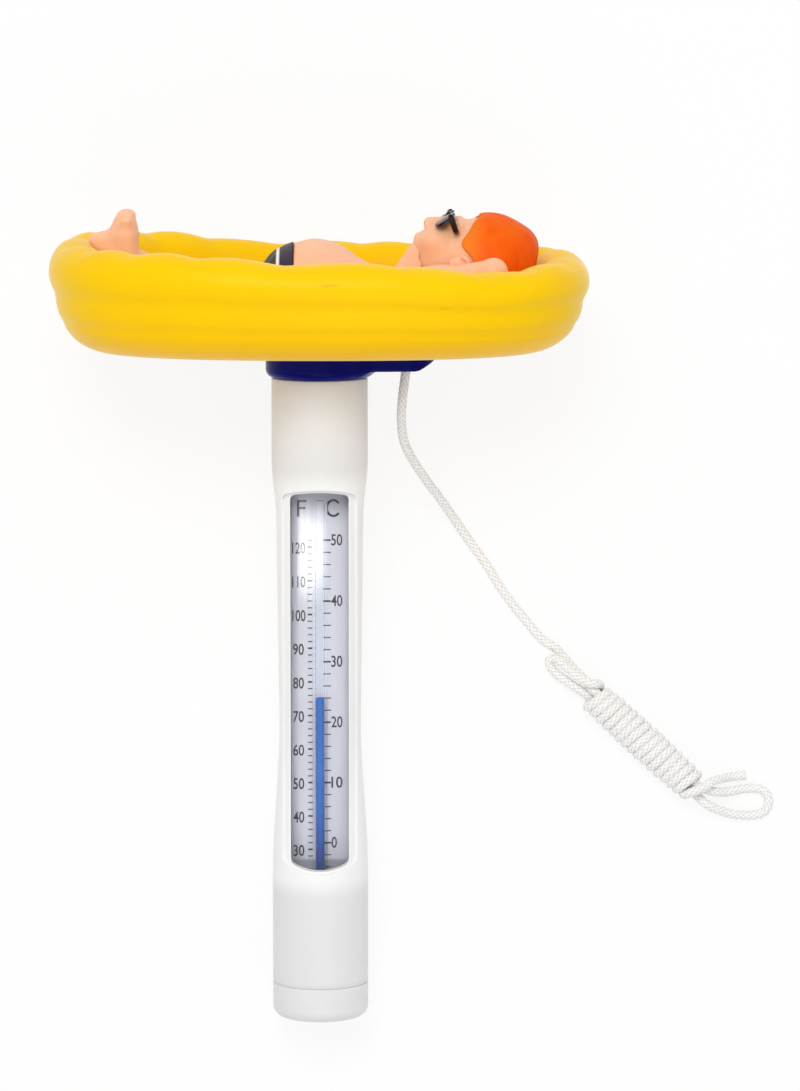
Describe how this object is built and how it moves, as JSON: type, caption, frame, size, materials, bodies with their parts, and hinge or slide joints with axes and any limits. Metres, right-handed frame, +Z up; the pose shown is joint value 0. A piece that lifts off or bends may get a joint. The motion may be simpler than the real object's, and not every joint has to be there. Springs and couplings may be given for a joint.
{
  "type": "floating pool thermometer",
  "caption": "Floating pool thermometer: a raft with a reclining figure carries a weighted tube with a windowed spirit thermometer and a hank of tether cord.",
  "frame": {"origin": "middle of the thermometer on the surface that it lies on, without its cord", "axes": "+Z up from the surface, towards the window; +Y along the tube on the surface, towards the raft; +X towards the figure's head"},
  "size_m": [0.1933, 0.2137, 0.0947],
  "materials": {
    "vinyl_yellow": "moulded soft vinyl, satin",
    "rubber_black": "moulded rubber",
    "abs_navy": "moulded ABS, glossy",
    "abs_white": "moulded ABS, satin gloss",
    "acrylic_clear": "clear moulded acrylic",
    "abs_grey": "moulded ABS",
    "card_print": "printed plastic card",
    "glass_clear": "drawn glass",
    "spirit_blue": "dyed spirit",
    "foam_white": "closed-cell foam",
    "steel_ballast": "cut steel bar",
    "vinyl_skin": "painted soft vinyl, matte",
    "vinyl_trunks": "painted soft vinyl with bands",
    "vinyl_hair": "painted soft vinyl",
    "plastic_black": "moulded plastic",
    "smoke_lens": "smoked plastic",
    "cord_white": "braided polyester"
  },
  "bodies": {
    "thermometer": {"float_hull": "vinyl_yellow", "float_gasket": "rubber_black", "spigot_o_ring": "rubber_black", "bulb_grommet": "rubber_black", "cap_seal": "rubber_black", "collar": "abs_navy", "tube_body": "abs_white", "bottom_cap": "abs_white", "lens_tube": "acrylic_clear", "lens_plug": "abs_grey", "scale_card": "card_print", "glass_stem": "glass_clear", "spirit_reservoir": "spirit_blue", "foam_pad": "foam_white", "ballast_weight": "steel_ballast", "figure_torso": "vinyl_skin", "figure_legs": "vinyl_skin", "figure_head": "vinyl_skin", "swim_trunks": "vinyl_trunks", "figure_hair": "vinyl_hair", "sunglasses_frame": "plastic_black", "sunglasses_lenses": "smoke_lens", "cord_knot": "cord_white", "cord_free": "cord_white", "cord_hank": "cord_white"},
    "spirit": {"spirit_column": "spirit_blue"}
  },
  "joints": [
    {"name": "spirit_rise", "type": "slide", "parent": "thermometer", "child": "spirit", "axis": [0, 0.9839, 0.1789], "range_m": [-0.0411, 0.0427], "deforming": ["spirit_column"]}
  ]
}
